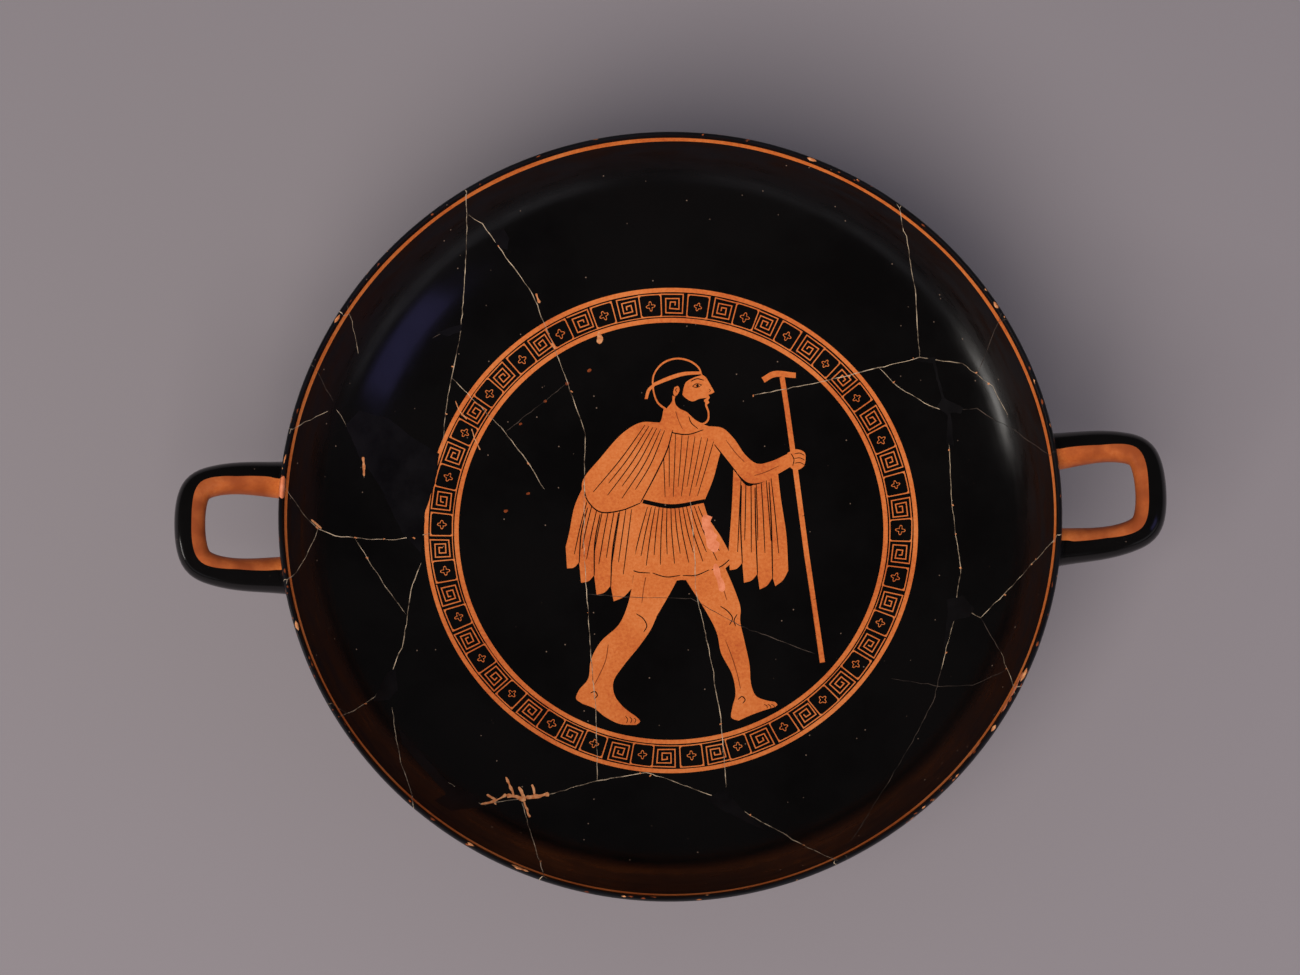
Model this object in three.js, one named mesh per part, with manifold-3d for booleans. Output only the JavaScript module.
// Greek kylix: a wide, shallow drinking cup on a stemmed disc foot, with two upswept loop handles.
// Millimetres, +Z up. The origin is on the axis, in the plane that the foot rests on.
// +X runs through the two handles.

import * as THREE from 'three';
import { mergeVertices } from 'three/addons/utils/BufferGeometryUtils.js';
import Module from 'manifold-3d';

// Bowl
const RIM_RADIUS = 150;
const RIM_HEIGHT = 115;
const BOWL_DEPTH = 55;
const FLOOR_HEIGHT = RIM_HEIGHT - BOWL_DEPTH;
const LIP_CROWN_INSET = 1.1;
const WALL_MIDDLE = 2;

// Stem and foot
const STEM_RADIUS = 15.3;
const FOOT_RADIUS = 56;
const FOOT_EDGE_ROUND = 3.8;
const RESTING_RING_INNER_RADIUS = 46.5;
const STEM_HOLLOW_TOP = 43;

// Handles
const HANDLE_REACH = 190;
const HANDLE_LEG_SPACING = 36.2;
const HANDLE_THICKNESS = 12.4;
const HANDLE_HEIGHT = 12.8;
const HANDLE_RISE = THREE.MathUtils.degToRad(20);
const HANDLE_ROOT_RADIUS = 138;
const HANDLE_ROOT_BELOW_RIM = 19;
const HANDLE_ROOT_DEPTH = 12;
const HANDLE_ROOT_FLARE = 0.4;
const HANDLE_FLARE_LENGTH = 38;

// Facets
const TURN_SEGMENTS = 84;
const HANDLE_STEPS = 26;
const HANDLE_SECTION_POINTS = 7;

const BLACK_GLOSS = 0x17140f;

const wasm = await Module();
wasm.setup();

function toSolid(geometry) {
  geometry.deleteAttribute('normal');
  geometry.deleteAttribute('uv');
  const welded = mergeVertices(geometry, 1e-4);
  return new wasm.Manifold(new wasm.Mesh({
    numProp: 3,
    vertProperties: new Float32Array(welded.attributes.position.array),
    triVerts: new Uint32Array(welded.index.array),
  }));
}

function toGeometry(solid) {
  const mesh = solid.getMesh();
  const geometry = new THREE.BufferGeometry();
  geometry.setAttribute('position', new THREE.BufferAttribute(mesh.vertProperties, mesh.numProp));
  geometry.setIndex(new THREE.BufferAttribute(mesh.triVerts, 1));
  geometry.computeVertexNormals();
  return geometry;
}

// Points of a smooth curve through [radius, height] pairs.
function smooth(pairs, stepsPerSpan) {
  const curve = new THREE.SplineCurve(pairs.map(([radius, height]) => new THREE.Vector2(radius, height)));
  return curve.getPoints(stepsPerSpan * (pairs.length - 1));
}

// A profile that runs up the outside and back down the inside, turned about +Z.
function turned(profile) {
  return toSolid(new THREE.LatheGeometry(profile, TURN_SEGMENTS).rotateX(Math.PI / 2));
}

// The hollow under the foot, from its top on the axis down to the resting ring.
function underside() {
  return smooth([
    [0, STEM_HOLLOW_TOP],
    [7.5, 38],
    [10, 20],
    [18, 7.4],
    [RESTING_RING_INNER_RADIUS - 2, 1.6],
    [RESTING_RING_INNER_RADIUS, 0],
  ], 1);
}

// The rounded edge of the foot disc, from the resting ring up to its top.
function footEdge() {
  const edge = new THREE.Path();
  const centre = FOOT_RADIUS - FOOT_EDGE_ROUND;
  edge.absarc(centre, FOOT_EDGE_ROUND, FOOT_EDGE_ROUND, -Math.PI / 2, Math.PI / 2, false);
  return edge.getPoints(4);
}

// One unbroken curve over the foot, up the stem and out under the bowl to the lip.
function outside() {
  const footTop = smooth([
    [FOOT_RADIUS - FOOT_EDGE_ROUND - 0.6, 2 * FOOT_EDGE_ROUND + 1],
    [33, 11.6],
    [19.6, 17.4],
    [STEM_RADIUS, 29],
    [18.4, 42.5],
    [45.7, 55.9],
  ], 2);
  const bowl = smooth([
    [45.7, 55.9],
    [91.3, 65.9],
    [127.2, 81.6],
    [144.5, 99.1],
    [RIM_RADIUS, RIM_HEIGHT - 3],
  ], 2);
  return [...footTop, ...bowl.slice(1)];
}

function lip() {
  return [
    new THREE.Vector2(RIM_RADIUS - 0.3, RIM_HEIGHT - 0.9),
    new THREE.Vector2(RIM_RADIUS - LIP_CROWN_INSET, RIM_HEIGHT),
  ];
}

// The inside of the bowl, from the lip down to the middle of the floor.
function inside() {
  return smooth([
    [RIM_RADIUS - 2, RIM_HEIGHT - 1.2],
    [145.3, 107.2],
    [137.6, 96.2],
    [118, 81.1],
    [84.2, 69.3],
    [45, 62.4],
    [0, FLOOR_HEIGHT],
  ], 2);
}

// The inside face moved out to the middle of the wall, closed at the lip: it trims the handle roots.
function wallMiddle() {
  const face = inside().reverse();
  face.forEach((point) => {
    point.x = point.x > 0 ? point.x + WALL_MIDDLE : 0;
  });
  return [...face, new THREE.Vector2(0, RIM_HEIGHT)];
}

// The middle line of a handle: a U in a plane that rises outwards at HANDLE_RISE. Its ends run on
// into the bowl, so that the roots can be trimmed inside the wall.
function handleLine() {
  const tip = HANDLE_REACH - HANDLE_THICKNESS / 2;
  const leg = HANDLE_LEG_SPACING / 2;
  const half = [
    [HANDLE_ROOT_RADIUS - HANDLE_ROOT_DEPTH, leg + 1.8],
    [RIM_RADIUS, leg],
    [tip - 10, leg - 1.4],
    [tip - 3.6, leg - 5],
    [tip - 0.9, leg - 11],
  ];
  const mirrored = half.map(([out, side]) => [out, -side]).reverse();
  return new THREE.CatmullRomCurve3([...half, [tip, 0], ...mirrored].map(([out, side]) => new THREE.Vector3(
    out,
    side,
    RIM_HEIGHT - HANDLE_ROOT_BELOW_RIM + (out - HANDLE_ROOT_RADIUS) * Math.tan(HANDLE_RISE),
  )), false, 'centripetal');
}

// Widen the handle towards the wall, as clay pressed on to it spreads.
function flareRoots(geometry, line) {
  const centres = line.getSpacedPoints(HANDLE_STEPS);
  const position = geometry.attributes.position;
  const point = new THREE.Vector3();
  for (let i = 0; i < position.count; i += 1) {
    point.fromBufferAttribute(position, i);
    const centre = centres.reduce((best, c) => (
      c.distanceToSquared(point) < best.distanceToSquared(point) ? c : best));
    const fromRoot = Math.max(0, centre.x - HANDLE_ROOT_RADIUS);
    const nearness = Math.max(0, 1 - fromRoot / HANDLE_FLARE_LENGTH);
    point.sub(centre).multiplyScalar(1 + HANDLE_ROOT_FLARE * nearness ** 1.5).add(centre);
    position.setXYZ(i, point.x, point.y, point.z);
  }
}

function handle() {
  const section = new THREE.Shape();
  section.absellipse(0, 0, HANDLE_THICKNESS / 2, HANDLE_HEIGHT / 2, 0, 2 * Math.PI, false);
  const line = handleLine();
  const geometry = new THREE.ExtrudeGeometry(section, {
    steps: HANDLE_STEPS,
    curveSegments: HANDLE_SECTION_POINTS,
    extrudePath: line,
  });
  flareRoots(geometry, line);
  return geometry;
}

function kylix() {
  const bowl = turned([...underside(), ...footEdge(), ...outside(), ...lip(), ...inside()]);
  const trim = turned(wallMiddle());
  const right = toSolid(handle()).subtract(trim);
  const left = toSolid(handle().rotateZ(Math.PI)).subtract(trim);
  const mesh = new THREE.Mesh(
    toGeometry(bowl.add(right).add(left)),
    new THREE.MeshStandardMaterial({ color: BLACK_GLOSS, roughness: 0.22, metalness: 0 }),
  );
  mesh.name = 'kylix';
  return mesh;
}

const part = new THREE.Group();
part.add(kylix());

export default part;
